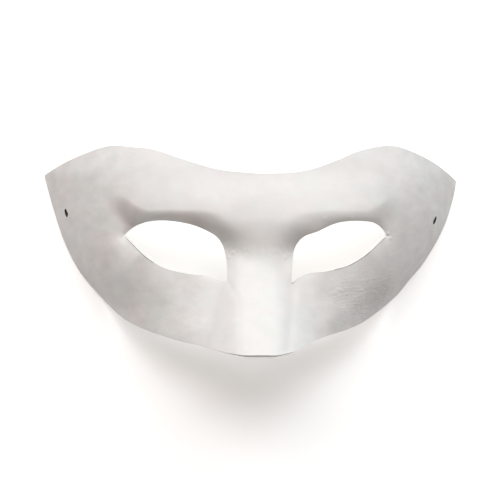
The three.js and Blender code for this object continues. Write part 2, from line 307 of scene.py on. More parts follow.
def rounded_head(x, y):
    """The head's height without sockets or nose."""
    side = "left" if x < 0 else "right"
    across = min(abs(x) / head_half_width(side, y), HEAD["most"])
    height = -HEAD["depth"] * (1 - math.sqrt(1 - across ** HEAD["power"])) - forehead_lean(y)
    lower = ramp((CHEEK["y"] - y) / CHEEK["run"], CHEEK["soft"])
    return height + CHEEK["swell"] * lower / math.cosh(x / CHEEK["spread"])


tip_back = -rounded_head(wing_edge_x("right", TIP_Y), TIP_Y)
print("the right wing's tip lies back by, mm:", round(tip_back, 1))

# %% Eye sockets
# A socket is a rounded box round its middle. It is shallow under the lower lid and deepens upwards to
# the brow, and at its outer end it reaches higher and deepens later.
SOCKET = {"x": 40, "y": 1, "power": 4.5, "reach_x": 28, "reach_up": 16.4, "outer_up": 10,
          "reach_down": 46, "outer_x": 46.7, "outer_run": 18, "lid": 3.9, "brow": 44,
          "deepens_from": 2.4, "outer_from": 15, "deepens_over": 28.4, "outer_over": 12}
LEFT_DEEPER = {"socket": 0.4, "lid": 0.25, "inner_corner": 0.45, "hollow": 0.2, "over": 6}


def deeper(x, share):
    """How much deeper than even a hollow is: pressed by hand, the left half's are deeper."""
    return 1 - share * math.tanh(x / LEFT_DEEPER["over"])


def socket_depth(out, y):
    """How deep an eye socket is: deepest inside the opening, under a rounded brow."""
    above = y - SOCKET["y"]
    outer = smooth((out - SOCKET["outer_x"]) / SOCKET["outer_run"])
    reach_y = SOCKET["reach_up"] + SOCKET["outer_up"] * outer if above > 0 else SOCKET["reach_down"]
    part_x = abs((out - SOCKET["x"]) / SOCKET["reach_x"]) ** SOCKET["power"]
    part_y = abs(above / reach_y) ** SOCKET["power"]
    reach = (part_x + part_y) ** (1 / SOCKET["power"])
    start = SOCKET["deepens_from"] + SOCKET["outer_from"] * outer
    over = SOCKET["deepens_over"] + SOCKET["outer_over"] * outer
    deepest = SOCKET["lid"] + SOCKET["brow"] * smooth((above + start) / over)
    return deepest * max(0, 1 - reach) ** 2


print("socket depth at the upper lid, mm:", round(socket_depth(SOCKET["x"], 12), 1))

# %% [markdown]
# The paper rolls back a little where it was cut for the eye, which is what draws the thin dark arch
# under each brow. How far back depends only on the distance to the eye's upper edge. Measuring that
# against every piece of the line would be slow, so a KDTree finds the nearest point first, and only
# the two pieces beside it are measured.

# %% Upper lids
LID = {"depth": 1.6, "reach": 1.6, "low_y": -7, "fade": 8}


def point_tree(line):
    """A search tree that finds the point of a line nearest to a place."""
    tree = KDTree(len(line))
    for index, point in enumerate(line):
        tree.insert(point, index)
    tree.balance()
    return tree


lid_lines = {side: smooth_line(EYE_UPPER[side]) for side in SIGN}
lid_trees = {side: point_tree(line) for side, line in lid_lines.items()}


def lid_distance(x, y):
    """How far a point of the face is from the upper edge of its eye."""
    side = "left" if x < 0 else "right"
    line = lid_lines[side]
    place = Vector((x, y, 0))
    nearest = lid_trees[side].find(place)[1]
    distances = []
    for start, end in zip(line[max(nearest - 1, 0):nearest + 1], line[max(nearest, 1):nearest + 2]):
        share = intersect_point_line(place, start, end)[1]
        distances.append((place - start.lerp(end, min(max(share, 0), 1))).length)
    return min(distances)


def lid_roll(x, y):
    """How far the skin rolls back towards the upper edge of an eye, less towards the nose."""
    starts = smooth((y - LID["low_y"]) / LID["fade"])
    if starts == 0:
        return 0.0
    return LID["depth"] * starts * math.exp(-lid_distance(x, y) / LID["reach"])


print("points along each upper lid:", {side: len(line) for side, line in lid_lines.items()})

# %% Hollow between the eyes
HOLLOW = {"depth": 5.3, "top_y": 13, "run": 24.5, "ease_y": -12, "ease_run": 30, "ease": 0.8,
          "half_width": 30}
INNER_CORNER = {"depth": 9.5, "x": 18.6, "y": -0.2, "radius": 7.1}


def hollow_depth(x, y):
    """The hollow between the eyes that the nose stands in, and its inner corners."""
    out = abs(x)
    starts = smooth((HOLLOW["top_y"] - y) / HOLLOW["run"])
    eases = 1 - HOLLOW["ease"] * smooth((HOLLOW["ease_y"] - y) / HOLLOW["ease_run"])
    middle = HOLLOW["depth"] * starts * eases * math.exp(-(out / HOLLOW["half_width"]) ** 4)
    away_x = (out - INNER_CORNER["x"]) / INNER_CORNER["radius"]
    away_y = (y - INNER_CORNER["y"]) / INNER_CORNER["radius"]
    corner = INNER_CORNER["depth"] * math.exp(-away_x ** 2 - away_y ** 2)
    corner *= deeper(x, LEFT_DEEPER["inner_corner"])
    return middle * deeper(x, LEFT_DEEPER["hollow"]) + corner


print("depth of the hollow at the nose's root, mm:", round(hollow_depth(0, 0), 1))

# %% The nose, and the whole face
NOSE = {"top_y": -0.4, "root": 4.2, "slope": math.radians(30), "brow_run": 15, "crease_soft": 0.8,
        "edge_soft": 3, "steepens": 60, "blend": 1.6}
NOSE_SIDE = {"left": {"half": 9.1, "slope": 1.05}, "right": {"half": 6.4, "slope": 0.7}}


def nose_height(x, y):
    """A broad flat ridge with sloping sides, from the crease under the brow to its cut end."""
    down = NOSE["top_y"] - y
    ridge = -NOSE["root"] + ramp(down, NOSE["crease_soft"]) * math.tan(NOSE["slope"])
    brow = -NOSE["root"] + NOSE["root"] * smooth(-down / NOSE["brow_run"]) - forehead_lean(y)
    side = NOSE_SIDE["left" if x < 0 else "right"]
    beyond = ramp(abs(x) - side["half"], NOSE["edge_soft"])
    beyond -= ramp(-side["half"], NOSE["edge_soft"])
    return max(ridge, brow) - side["slope"] * beyond - beyond ** 2 / NOSE["steepens"]


def face_height(x, y):
    """The whole face: head less sockets and hollow, with the nose standing in it."""
    sockets = socket_depth(abs(x), y) * deeper(x, LEFT_DEEPER["socket"])
    lid = lid_roll(x, y) * deeper(x, LEFT_DEEPER["lid"])
    head = rounded_head(x, y) - sockets - lid - hollow_depth(x, y)
    return soft_max(head, nose_height(x, y), NOSE["blend"])


print("height of the top edge, mm:", round(face_height(0, TOP_Y), 2))
print("height of the nose's end, mm:", round(face_height(0, NOSE_BOTTOM), 2))

# %% [markdown]
# ## Flat lands for the tie holes
# A hand punch flattens the pulp round the hole that it makes. So near each tie hole the height fades
# to the plane that touches the skin there.

# %% Lands round the tie holes
LAND_RADIUS = 4.5
LAND_FADE = 4
SLOPE_STEP = 0.05


def slope_at(x, y):
    """How fast the face rises to the right and upwards at a point."""
    step = SLOPE_STEP
    right = (face_height(x + step, y) - face_height(x - step, y)) / (2 * step)
    up = (face_height(x, y + step) - face_height(x, y - step)) / (2 * step)
    return right, up


lands = []
for place in TIE_HOLE.values():
    lands.append((place, slope_at(*place), face_height(*place)))


def skin_height(x, y):
    """The outer skin, pressed flat round each tie hole."""
    height = face_height(x, y)
    for (hole_x, hole_y), (right, up), level in lands:
        dx = x - hole_x
        dy = y - hole_y
        away = math.hypot(dx * math.hypot(1, right), dy * math.hypot(1, up))
        if away < LAND_RADIUS + LAND_FADE:
            flat = level + right * dx + up * dy
            height += (flat - height) * (1 - smooth((away - LAND_RADIUS) / LAND_FADE))
    return height


print("height of each land, mm:", [round(level, 1) for place, slope, level in lands])

# %% [markdown]
# ## Growing the skin round each eye
# A mesh for a thin sheet with a hole in it could be a grid cut to shape, but that leaves ragged edges.
# Growing it outwards keeps every edge clean: create_circle makes the eye's edge, extrude_edge_only
# adds one band of quads at a time, and each new loop of vertices is moved a step nearer the mask's
# edge. The bands are a little narrower next to the eye, where the surface bends most.

# %% Grow one half
RINGS = 54
CROWDING = 0.2


def half_skin(side):
    """One half of the mask as a flat ring of quads, from the eye's edge to the mask's edge."""
    inner = eye_edge(side)
    outer = mask_edge(side)
    bm = bmesh.new()
    loop = bmesh.ops.create_circle(bm, segments=len(inner))["verts"]
    for vert, place in zip(loop, inner):
        vert.co = place
    edges = bm.edges[:]
    for ring in range(1, RINGS + 1):
        share = ring / RINGS
        share *= 1 - CROWDING * (1 - share)
        grown = bmesh.ops.extrude_edge_only(bm, edges=edges)["geom"]
        new_verts = {item for item in grown if isinstance(item, bmesh.types.BMVert)}
        loop = [next(edge.other_vert(vert) for edge in vert.link_edges
                     if edge.other_vert(vert) in new_verts) for vert in loop]
        edges = [item for item in grown if isinstance(item, bmesh.types.BMEdge)
                 and item.verts[0] in new_verts and item.verts[1] in new_verts]
        for vert, start, end in zip(loop, inner, outer):
            vert.co = start.lerp(end, share)
    return bm


# %% Join the halves and lift them into a face
SEAM_GAP = 0.01


def face_skin():
    """Both halves in one mesh, welded on the centre line and lifted to their heights."""
    whole = bmesh.new()
    for side in ("left", "right"):
        half = half_skin(side)
        piece = bpy.data.meshes.new("half_skin")
        half.to_mesh(piece)
        half.free()
        whole.from_mesh(piece)
        bpy.data.meshes.remove(piece)
    before = len(whole.verts)
    bmesh.ops.remove_doubles(whole, verts=whole.verts[:], dist=SEAM_GAP)
    print("vertices welded on the centre line:", before - len(whole.verts))
    for vert in whole.verts:
        vert.co.z = skin_height(vert.co.x, vert.co.y)
    bmesh.ops.recalc_face_normals(whole, faces=whole.faces[:])
    if sum(face.normal.z for face in whole.faces) < 0:
        bmesh.ops.reverse_faces(whole, faces=whole.faces[:])
    return whole


skin = face_skin()
print("skin:", len(skin.verts), "vertices,", len(skin.faces), "faces")

# %% [markdown]
# ## Tie holes
# A hole punched through a mesh needs finer quads than the sheet round it. So the edges near it are
# subdivided, the faces inside its circle are deleted, and the ragged rim that is left is moved out or
# in to the true radius. A few rounds of smoothing even out the quads between. The real holes aren't
# quite round, so the last move makes each a little longer towards the wing's tip.

# %% A tie hole's place and direction
HOLE_RADIUS = 1.5


def from_axis(point, middle, axis):
    """The part of a point's distance that is square to the hole's axis, as a vector."""
    offset = point - middle
    return offset - axis * offset.dot(axis)


def hole_axis(side):
    """A tie hole's middle on the skin, and the direction that it goes through."""
    x, y = TIE_HOLE[side]
    right, up = slope_at(x, y)
    return Vector((x, y, face_height(x, y))), Vector((-right, -up, 1)).normalized()


print("direction of the left tie hole:", tuple(hole_axis("left")[1]))

# %% Punch the tie holes
HOLE_FINE = 3.4
HOLE_CUTS = 2
HOLE_SMOOTHING = {"rounds": 6, "factor": 0.5}
HOLE_PULL = {"left": (-0.42, 0.9), "right": (0.57, 0.82), "longer": 0.35, "narrower": 0.08,
             "fade": 3.4}


def near_hole(bm, middle, radius):
    """Vertices of the mesh within a radius of a tie hole's middle."""
    return {vert for vert in bm.verts if (vert.co - middle).length < radius}


def pull_hole(verts, middle, axis, pull):
    """Makes a round hole a little longer along the pull and a little narrower across it."""
    along = from_axis(Vector((*pull, 0)), Vector(), axis).normalized()
    for vert in verts:
        offset = from_axis(vert.co, middle, axis)
        share = 1 - smooth((offset.length - HOLE_RADIUS) / (HOLE_PULL["fade"] - HOLE_RADIUS))
        lengthwise = along * offset.dot(along)
        narrower = HOLE_PULL["narrower"] * (offset - lengthwise)
        vert.co += share * (HOLE_PULL["longer"] * lengthwise - narrower)


def punch(bm, side):
    """Opens one tie hole in the single skin."""
    middle, axis = hole_axis(side)
    close = near_hole(bm, middle, HOLE_FINE)
    edges = [edge for edge in bm.edges if edge.verts[0] in close and edge.verts[1] in close]
    bmesh.ops.subdivide_edges(bm, edges=edges, cuts=HOLE_CUTS, use_grid_fill=True)
    close = near_hole(bm, middle, HOLE_FINE)
    faces = {face for vert in close for face in vert.link_faces}
    inside = [face for face in faces if (face.calc_center_median() - middle).length < HOLE_RADIUS]
    bmesh.ops.delete(bm, geom=inside, context="FACES")
    close = near_hole(bm, middle, HOLE_FINE)
    rim = {vert for vert in close if vert.is_boundary}
    for vert in rim:
        vert.co = middle + from_axis(vert.co, middle, axis).normalized() * HOLE_RADIUS
    for _ in range(HOLE_SMOOTHING["rounds"]):
        bmesh.ops.smooth_vert(bm, verts=list(close - rim), factor=HOLE_SMOOTHING["factor"],
                              use_axis_x=True, use_axis_y=True, use_axis_z=True)
    pull_hole(close, middle, axis, HOLE_PULL[side])
    return len(rim)


for side in TIE_HOLE:
    print("tie hole", side, "has", punch(skin, side), "rim vertices")

# %% [markdown]
# ## Hand-made unevenness
# Pulp dries unevenly, so no surface is quite true. Three things show on the real mask: a slow wander
# of the skin, broad shallow places where hands pressed the wet pulp, and two soft folds on the right
# half, one across the cheek and one at the wing's tip. All go in before the wall gets its thickness,
# so that inside and outside move together, and only as a change of height, so that the edges keep
# their lines. Blender's noise functions give the same value for a point, so the script makes the same
# mask each run.

# %% Slow wander
WANDER = {"size": 17.0, "depth": 0.15}
RIPPLE = {"size": 6.5, "depth": 0.09, "shift": Vector((7, 3, 5))}


def wander(point):
    """A slow unevenness of the pulp at a point."""
    slow = noise.noise(point / WANDER["size"]) * WANDER["depth"]
    quick = noise.noise(point / RIPPLE["size"] + RIPPLE["shift"]) * RIPPLE["depth"]
    return slow + quick


print("wander at the top edge, mm:", round(wander(Vector((0, TOP_Y, 0))), 3))

# %% Pressed places
# Each has its middle, how far it reaches across and up, and how high it stands, or how deep it lies.
PRESSED = [
    {"place": (12, 34), "reach": (32, 9), "height": -1.3},
    {"place": (-16, 30), "reach": (14, 8), "height": -0.5},
    {"place": (36, 34), "reach": (16, 8), "height": -0.45},
    {"place": (38, 13), "reach": (24, 8), "height": 0.85},
    {"place": (16, 12), "reach": (10, 7), "height": 0.35},
    {"place": (-24, 20), "reach": (10, 7), "height": 0.35},
    {"place": (-34, -40), "reach": (16, 13), "height": 1.1},
    {"place": (-84, 35), "reach": (10, 10), "height": 0.3},
    {"place": (3, 5), "reach": (9, 8), "height": 0.3},
    {"place": (-3, -8), "reach": (7, 7), "height": 0.3},
]


def pressed(point):
    """How far hands pushed the wet pulp out or in at a point."""
    height = 0.0
    for spot in PRESSED:
        away_x = (point.x - spot["place"][0]) / spot["reach"][0]
        away_y = (point.y - spot["place"][1]) / spot["reach"][1]
        height += spot["height"] * math.exp(-away_x ** 2 - away_y ** 2)
    return height


print("places pressed by hand:", len(PRESSED))

# %% Soft folds
# The skin bends back over its run on one side of the line from start to end, and fades out past both.
FOLDS = [
    {"start": Vector((82.8, 36.4, 0)), "end": Vector((78.9, 23.4, 0)),
     "run": 7, "step": 0.6, "fade": 9},
    {"start": Vector((67, -5, 0)), "end": Vector((30, -29.5, 0)),
     "run": 13, "step": 3, "fade": 8},
]


def folded_back(point):
    """How far the skin is bent back beyond the soft folds on the right half."""
    bent = 0.0
    for fold in FOLDS:
        along = (fold["end"] - fold["start"]).normalized()
        offset = Vector((point.x, point.y, 0)) - fold["start"]
        beyond = offset.y * along.x - offset.x * along.y
        past_end = offset.dot(along) - (fold["end"] - fold["start"]).length
        before_start = -offset.dot(along)
        share = (1 - smooth(past_end / fold["fade"])) * (1 - smooth(before_start / fold["fade"]))
        bent -= fold["step"] * smooth(beyond / fold["run"]) * share
    return bent


print("length of each fold, mm:", [round((fold["end"] - fold["start"]).length, 1) for fold in FOLDS])

# %% Uneven skin
hole_axes = [hole_axis(side) for side in TIE_HOLE]


def hole_distance(point):
    """How far a point is from the nearer tie hole's middle."""
    return min((point - middle).length for middle, axis in hole_axes)


changes = []
for vert in skin.verts:
    calm = smooth((hole_distance(vert.co) - LAND_RADIUS) / LAND_FADE)
    changes.append((wander(vert.co) + pressed(vert.co) + folded_back(vert.co)) * calm)
for vert, change in zip(skin.verts, changes):
    vert.co.z += change
print("the skin moved by", round(min(changes), 2), "to", round(max(changes), 2), "mm")

# %% [markdown]
# ## The wall
# The mask is as thick as a few layers of pulp. The solidify operator offsets the skin by the wall's
# thickness and closes the rims. The new faces that it returns are the inside, and what is neither new
# nor old is the cut edge. Each kind gets its own material number, which also tells later steps where
# they are.

# %% Give the wall its thickness
WALL = 1.8
OUTSIDE, INSIDE, CUT, PUNCHED = 0, 1, 2, 3

skin.normal_update()
outer_faces = set(skin.faces)
wall = bmesh.ops.solidify(skin, geom=skin.faces[:], thickness=WALL)["geom"]
inner_faces = {item for item in wall if isinstance(item, bmesh.types.BMFace)}
print("longest edge of the wall, mm:", round(max(edge.calc_length() for edge in skin.edges), 2))
for face in skin.faces:
    face.smooth = True
    if face in outer_faces:
        face.material_index = OUTSIDE
    elif face in inner_faces:
        face.material_index = INSIDE
    elif hole_distance(face.calc_center_median()) < LAND_RADIUS:
        face.material_index = PUNCHED
    else:
        face.material_index = CUT
print("faces outside, inside and cut:", len(outer_faces), len(inner_faces),
      len(skin.faces) - len(outer_faces) - len(inner_faces))

# %% [markdown]
# ## Rounded cut edges
# A knife leaves the pulp's edge crisp, but coating and handling round it by a fraction of a
# millimetre, and that is what catches a thin line of light. The edges to bevel are the ones between a
# cut face and a skin face. Where the rounding ends, the edge is marked sharp, so that the broad faces
# beside it keep their own shading and don't darken towards the rim.

# %% Bevel the cut edges
EDGE_ROUND = 0.3
EDGE_STEPS = 3


def is_cut_line(edge):
    """True for an edge between the cut wall and one of the two skins."""
    kinds = {face.material_index for face in edge.link_faces}
    return len(kinds) == 2 and min(kinds) < CUT <= max(kinds)


cut_lines = [edge for edge in skin.edges if is_cut_line(edge)]
rounded = bmesh.ops.bevel(skin, geom=cut_lines, offset=EDGE_ROUND, offset_type="OFFSET",
                          segments=EDGE_STEPS, profile=0.5, affect="EDGES", material=-1,
                          clamp_overlap=True)["faces"]
rounded = set(rounded)
for face in rounded:
    face.smooth = True
    for edge in face.edges:
        edge.smooth = all(other in rounded for other in edge.link_faces)
print("cut lines bevelled:", len(cut_lines))

# %% [markdown]
# ## Darker, grey and torn edges
# The rounding along the lower outer edge of each eye is finished darker, the rounding of the mask's own
# edge is finished grey, and the punch tore the coat on the lower side of each tie hole. All three
# follow faces that are already there, so they need no new shape: the faces are picked by their place
# and get another material. The height that they are picked by is the even skin's, so where hands
# pressed the skin well in, or it is folded back, its rim counts as out of reach and stays white.

# %% Where the edges change
DARK_EYE_RIM, GREY_RIM, TORN = 4, 5, 6
DARK_EYE_RIM_REACH = {"left": (45, 57), "right": (33, 56.5)}
DARK_EYE_RIM_RANGE_Y = (-12, 6)
EYE_REACH = {"out": 59, "low_y": -18, "high_y": 14}
TORN_REACH = 0.75
TORN_TOP = 0.4


def on_outside(middle):
    """True less than half a wall below the even skin: on the coated side, but not where it is deep."""
    return skin_height(middle.x, middle.y) - middle.z < WALL / 2


def is_dark_eye_rim(middle):
    """True on the outer rounding of an eye's lower outer edge, which is finished darker."""
    start, end = DARK_EYE_RIM_REACH["left" if middle.x < 0 else "right"]
    low, high = DARK_EYE_RIM_RANGE_Y
    return start < abs(middle.x) < end and low < middle.y < high and on_outside(middle)


def is_grey_rim(middle):
    """True on the outer rounding of the mask's own edge, which is finished grey."""
    level_with_eye = EYE_REACH["low_y"] < middle.y < EYE_REACH["high_y"]
    beside_eye = abs(middle.x) < EYE_REACH["out"] and level_with_eye
    return not beside_eye and hole_distance(middle) > LAND_RADIUS and on_outside(middle)


def is_torn(middle):
    """True on the outside close round a tie hole, on its lower side."""
    place, axis = min(hole_axes, key=lambda hole: (middle - hole[0]).length)
    offset = from_axis(middle, place, axis)
    close = offset.length < HOLE_RADIUS + TORN_REACH
    return close and offset.y < TORN_TOP and on_outside(middle)


print("greyed, scuffed and torn edges use materials", GREY_RIM, DARK_EYE_RIM, TORN)


# %% Pick the used faces
def beside(faces):
    """The coated faces that touch the faces given."""
    return {near for face in faces for vert in face.verts for near in vert.link_faces
            if near.material_index == OUTSIDE and near not in faces}


dark_eye_rim_faces = {face for face in rounded if is_dark_eye_rim(face.calc_center_median())}
dark_eye_rim_faces |= {face for face in beside(dark_eye_rim_faces) if is_dark_eye_rim(face.calc_center_median())}
grey_rim_faces = {face for face in rounded if is_grey_rim(face.calc_center_median())}
torn = {face for face in skin.faces if face.material_index == OUTSIDE or face in rounded}
torn = {face for face in torn if is_torn(face.calc_center_median())}
for faces, index in ((dark_eye_rim_faces, DARK_EYE_RIM), (grey_rim_faces, GREY_RIM), (torn, TORN)):
    for face in faces:
        face.material_index = index
print("scuffed, handled and torn faces:", len(dark_eye_rim_faces), len(grey_rim_faces), len(torn))

# %% [markdown]
# ## Fine relief
# Under the coat the outside still shows how it was made: small lumps where the nose starts, a crease
# down each side of the nose, crumbs of pulp at the corners of the eyes and a burr round each tie hole.
# The inside is bare pulp, rougher all over. Each is a small move along the vertex's own normal. All
# moves are worked out on the smooth skin first and then made together.

# %% Relief of the outside
# Each crumb has its place across and up, its radius and its height.
GRAIN = {"size": 2.6, "depth": 0.02}
NOSE_LUMPS = {"y": -0.6, "reach_y": 1.6, "reach_x": 17, "size": 1.7, "depth": 0.18}
CRUMBS = [
    (-58.3, 6.4, 0.8, 0.3), (57.6, 7.2, 0.7, 0.35), (58.7, 5.2, 0.6, 0.3),
    (11.8, -3.2, 0.7, 0.25), (-10.5, -1.3, 0.7, 0.25), (-12.4, -3.2, 0.6, 0.2),
    (40.5, 14.2, 0.6, 0.25), (28.6, 13.6, 0.7, 0.2),
]
CREASES = [
    {"line": [(-13.5, -13.2), (-11.6, -16.4), (-9.6, -20.2), (-9.0, -30), (-9.5, -43)],
     "half": 1.4, "depth": 0.1},
    {"line": [(14.6, -13.6), (14.6, -21.4), (13.6, -29.8), (11.4, -42)],
     "half": 2.2, "depth": 0.3},
]
crease_lines = [(crease, smooth_line(crease["line"])) for crease in CREASES]


def outside_relief(p):
    """How far the coated skin stands out at a point."""
    height = noise.noise(p / GRAIN["size"]) * GRAIN["depth"]
    away = ((p.y - NOSE_LUMPS["y"]) / NOSE_LUMPS["reach_y"]) ** 2
    away += (p.x / NOSE_LUMPS["reach_x"]) ** 4
    height += noise.noise(p / NOSE_LUMPS["size"]) * NOSE_LUMPS["depth"] * math.exp(-away)
    for x, y, radius, crumb_height in CRUMBS:
        away = math.hypot(p.x - x, p.y - y) / radius
        height += crumb_height * math.exp(-away ** 2)
    for crease, line in crease_lines:
        away = min((Vector((p.x, p.y, 0)) - place).length for place in line) / crease["half"]
        height -= crease["depth"] * math.exp(-away ** 2)
    return height


print("crumbs and creases:", len(CRUMBS), len(CREASES))

# %% Relief of the bare pulp and burrs of the tie holes
PULP = {"size": 2.4, "depth": 0.16, "dimension": 0.8, "finer": 2.0, "octaves": 3}
BURR = {"reach": 1.1, "ends": 2, "depth": 0.28, "lower": 0.5, "ragged": 0.5, "ragged_size": 0.9}


def inside_relief(p):
    """How far the bare pulp inside stands out at a point."""
    rough = noise.fractal(p / PULP["size"], PULP["dimension"], PULP["finer"], PULP["octaves"])
    return rough * PULP["depth"]


def burr(p):
    """The lip that the punch pushed up round a tie hole, higher on the hole's lower side."""
    lip = 0.0
    for middle, axis in hole_axes:
        offset = from_axis(p, middle, axis)
        away = (offset.length - HOLE_RADIUS) / BURR["reach"]
        if away < BURR["ends"]:
            low_side = 1 - BURR["lower"] * (1 + offset.normalized().y) / 2
            ragged = 1 + BURR["ragged"] * noise.noise(p / BURR["ragged_size"])
            lip += BURR["depth"] * low_side * ragged * math.exp(-away ** 2)
    return lip


print("height of a burr, mm:", BURR["depth"])

# %% Move the skin
skin.normal_update()
moves = []
for vert in skin.verts:
    kinds = {face.material_index for face in vert.link_faces}
    if OUTSIDE in kinds:
        moves.append(vert.normal * (outside_relief(vert.co) + burr(vert.co)))
    elif kinds == {INSIDE}:
        moves.append(vert.normal * inside_relief(vert.co))
    else:
        moves.append(Vector())
for vert, move in zip(skin.verts, moves):
    vert.co += move
print("largest relief, mm:", round(max(move.length for move in moves), 3))

# %% [markdown]
# ## Lay it down
# The mask lies on the edges of its two wings. It is turned and moved as a whole, and what would reach
# below the table is cut off level, as a sander would do it: bisect_plane cuts, and edgeloop_fill closes
# the two long thin cuts.

# %% Lay down and level the wings
ON_THE_CUT = 1e-7

skin.transform(Matrix.Scale(MM, 4) @ lie)
whole_skin = skin.verts[:] + skin.edges[:] + skin.faces[:]
bmesh.ops.bisect_plane(skin, geom=whole_skin, dist=ON_THE_CUT, plane_co=(0, 0, 0),
                       plane_no=(0, 0, 1), clear_inner=True)
open_edges = [edge for edge in skin.edges if edge.is_boundary]
flats = bmesh.ops.edgeloop_fill(skin, edges=open_edges, mat_nr=CUT)["faces"]
bmesh.ops.triangulate(skin, faces=flats)
open_edges = [edge for edge in skin.edges if edge.is_boundary]
print("resting flats:", len(flats), "open edges left:", len(open_edges))

# %% [markdown]
# The bmesh becomes one object at the origin, neither turned nor scaled, because its vertices already
# lie where the mask does. Patterns that follow the object's own coordinates then stay in place.

# %% Make the mask's object
mesh = bpy.data.meshes.new("mask_shell")
skin.to_mesh(mesh)
skin.free()
mask = bpy.data.objects.new("mask_shell", mesh)
bpy.context.scene.collection.objects.link(mask)
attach(mask, "root")
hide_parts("mask")
triangles = sum(len(polygon.vertices) - 2 for polygon in mesh.polygons)
print("mask:", len(mesh.polygons), "faces,", triangles, "triangles")

# %% [markdown]
# ## Materials
# White paint over pulp is matt but not flat in colour. Its whiteness drifts a little between pink and
# green-grey over a centimetre or two, the strokes leave faint streaks that follow the face's width, and
# a fine tooth breaks up the light. A Mapping node set to TEXTURE turns the pattern with the face and
# takes its sizes in metres, so streaks run along the face and not along the table.

# %% Materials and their nodes
def new_material(name, specular):
    """A node material whose one shader reflects by the share given, with its tree and shader."""
    material = bpy.data.materials.new(name)
    material.use_nodes = True
    tree = material.node_tree
    shader = tree.nodes["Principled BSDF"]
    shader.inputs["Specular IOR Level"].default_value = specular
    return material, tree, shader


def add_node(tree, kind, values=None, **settings):
    """One node with its settings and its input values."""
    made = tree.nodes.new(kind)
    for name, value in settings.items():
        setattr(made, name, value)
    for name, value in (values or {}).items():
        made.inputs[name].default_value = value
    return made


def set_or_link(tree, socket, value):
    """Gives an input a constant, a colour or another node's output."""
    if hasattr(value, "links"):
        tree.links.new(value, socket)
    elif isinstance(value, tuple):
        socket.default_value = (*value, 1)
    else:
        socket.default_value = value


# %% Patterns in the face's frame
# Most values of a noise texture lie between these two.
MIDDLE_OF_NOISE = (0.3, 0.7)


def face_pattern(tree, sizes, shift=(0, 0, 0), turn=0.0):
    """Object coordinates in the face's frame, turned in it and divided by sizes in millimetres."""
    coordinates = add_node(tree, "ShaderNodeTexCoord")
    mapping = add_node(tree, "ShaderNodeMapping", vector_type="TEXTURE")
    mapping.inputs["Location"].default_value = (FACE_ZERO + Vector(shift)) * MM
    mapping.inputs["Rotation"].default_value = (LIE_TILT, 0, turn)
    mapping.inputs["Scale"].default_value = Vector(sizes) * MM
    tree.links.new(coordinates.outputs["Object"], mapping.inputs["Vector"])
    return mapping.outputs["Vector"]


def noise_pattern(tree, sizes, detail, roughness, shift=(0, 0, 0), turn=0.0):
    """A noise texture whose features have the sizes given in millimetres."""
    texture = add_node(tree, "ShaderNodeTexNoise", {
        "Scale": 1.0, "Detail": detail, "Roughness": roughness})
    tree.links.new(face_pattern(tree, sizes, shift, turn), texture.inputs["Vector"])
    return texture.outputs["Fac"]


def spread(tree, value, low, high, to_low=0.0, to_high=1.0):
    """Stretches a value's middle range to a new range."""
    ranged = add_node(tree, "ShaderNodeMapRange", {
        "From Min": low, "From Max": high, "To Min": to_low, "To Max": to_high})
    tree.links.new(value, ranged.inputs["Value"])
    return ranged.outputs["Result"]


def blend_colours(tree, factor, first, second, blend="MIX"):
    """Mixes two colours, each a constant or a socket."""
    mix = add_node(tree, "ShaderNodeMix", data_type="RGBA", blend_type=blend)
    for place, value in ((0, factor), (6, first), (7, second)):
        set_or_link(tree, mix.inputs[place], value)
    return mix.outputs[2]


def bump(tree, height, distance, strength=None, under=None):
    """Turns a height pattern into bumps of a depth in millimetres, over another bump if given."""
    made = add_node(tree, "ShaderNodeBump", {"Distance": distance * MM, "Strength": 1.0})
    tree.links.new(height, made.inputs["Height"])
    if strength is not None:
        tree.links.new(strength, made.inputs["Strength"])
    if under is not None:
        tree.links.new(under, made.inputs["Normal"])
    return made.outputs["Normal"]


# %% [markdown]
# Some of the finish belongs to one part of the face only. A mask is a value that fades between two
# places, or away from one place, on the same coordinates as the patterns. Math nodes join masks:
# multiplied, both have to hold, and the larger of two means that either may.

# %% Masks
def place_mask(tree, axis, start, end, share=1.0):
    """Fades from 0 to a share between two places on one axis of the face, in millimetres."""
    split = add_node(tree, "ShaderNodeSeparateXYZ")
    tree.links.new(face_pattern(tree, (1, 1, 1)), split.inputs["Vector"])
    ranged = add_node(tree, "ShaderNodeMapRange", {
        "From Min": start, "From Max": end, "To Min": 0.0, "To Max": share},
        interpolation_type="SMOOTHSTEP")
    tree.links.new(split.outputs[axis], ranged.inputs["Value"])
    return ranged.outputs["Result"]


def spot_mask(tree, middle, radius):
    """Fades from 1 at a place of the face to 0 at a radius from it, in millimetres."""
    away = add_node(tree, "ShaderNodeVectorMath", operation="LENGTH")
    place = lie.to_3x3() @ Vector(middle)
    tree.links.new(face_pattern(tree, (1, 1, 1), place), away.inputs[0])
    ranged = add_node(tree, "ShaderNodeMapRange", {"From Min": radius, "From Max": 0.0},
                      interpolation_type="SMOOTHSTEP")
    tree.links.new(away.outputs["Value"], ranged.inputs["Value"])
    return ranged.outputs["Result"]


def combine(tree, operation, first, second):
    """One Math node over two values, each a constant or a socket."""
    made = add_node(tree, "ShaderNodeMath", operation=operation)
    set_or_link(tree, made.inputs[0], first)
    set_or_link(tree, made.inputs[1], second)
    return made.outputs["Value"]
